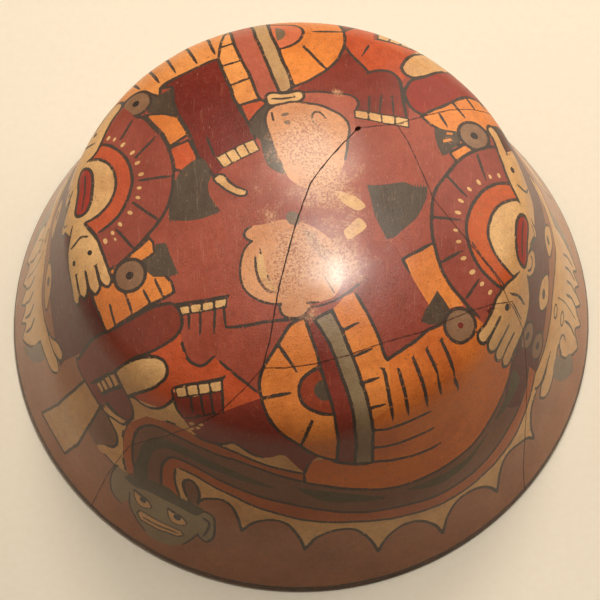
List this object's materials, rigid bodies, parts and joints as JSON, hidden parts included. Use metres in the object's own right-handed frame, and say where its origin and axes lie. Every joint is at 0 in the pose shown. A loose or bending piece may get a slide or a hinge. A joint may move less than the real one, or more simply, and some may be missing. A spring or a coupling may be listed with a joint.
{
  "type": "earthenware bowl",
  "caption": "Deep round-bottomed earthenware bowl with a flaring wall, slip painted outside, rejoined from sherds, mouth down.",
  "frame": {"origin": "middle of the mouth, on the plane of the rim that the bowl stands on", "axes": "+Z from the mouth to the crown of the rounded bottom; +X right and +Y back of the painted design as it is shown"},
  "size_m": [0.22, 0.22, 0.1073],
  "materials": {
    "painted_earthenware": "satin",
    "joint_adhesive": "matte"
  },
  "bodies": {
    "root": {"sherd_left": "painted_earthenware", "sherd_crown": "painted_earthenware", "sherd_front": "painted_earthenware", "sherd_right": "painted_earthenware", "glue_seam_crown_left": "joint_adhesive", "glue_seam_crown_back": "joint_adhesive", "glue_seam_back_right": "joint_adhesive", "glue_seam_crown_right": "joint_adhesive", "glue_seam_crown_front": "joint_adhesive", "glue_seam_front_right": "joint_adhesive", "glue_seam_front_left": "joint_adhesive"}
  },
  "joints": []
}
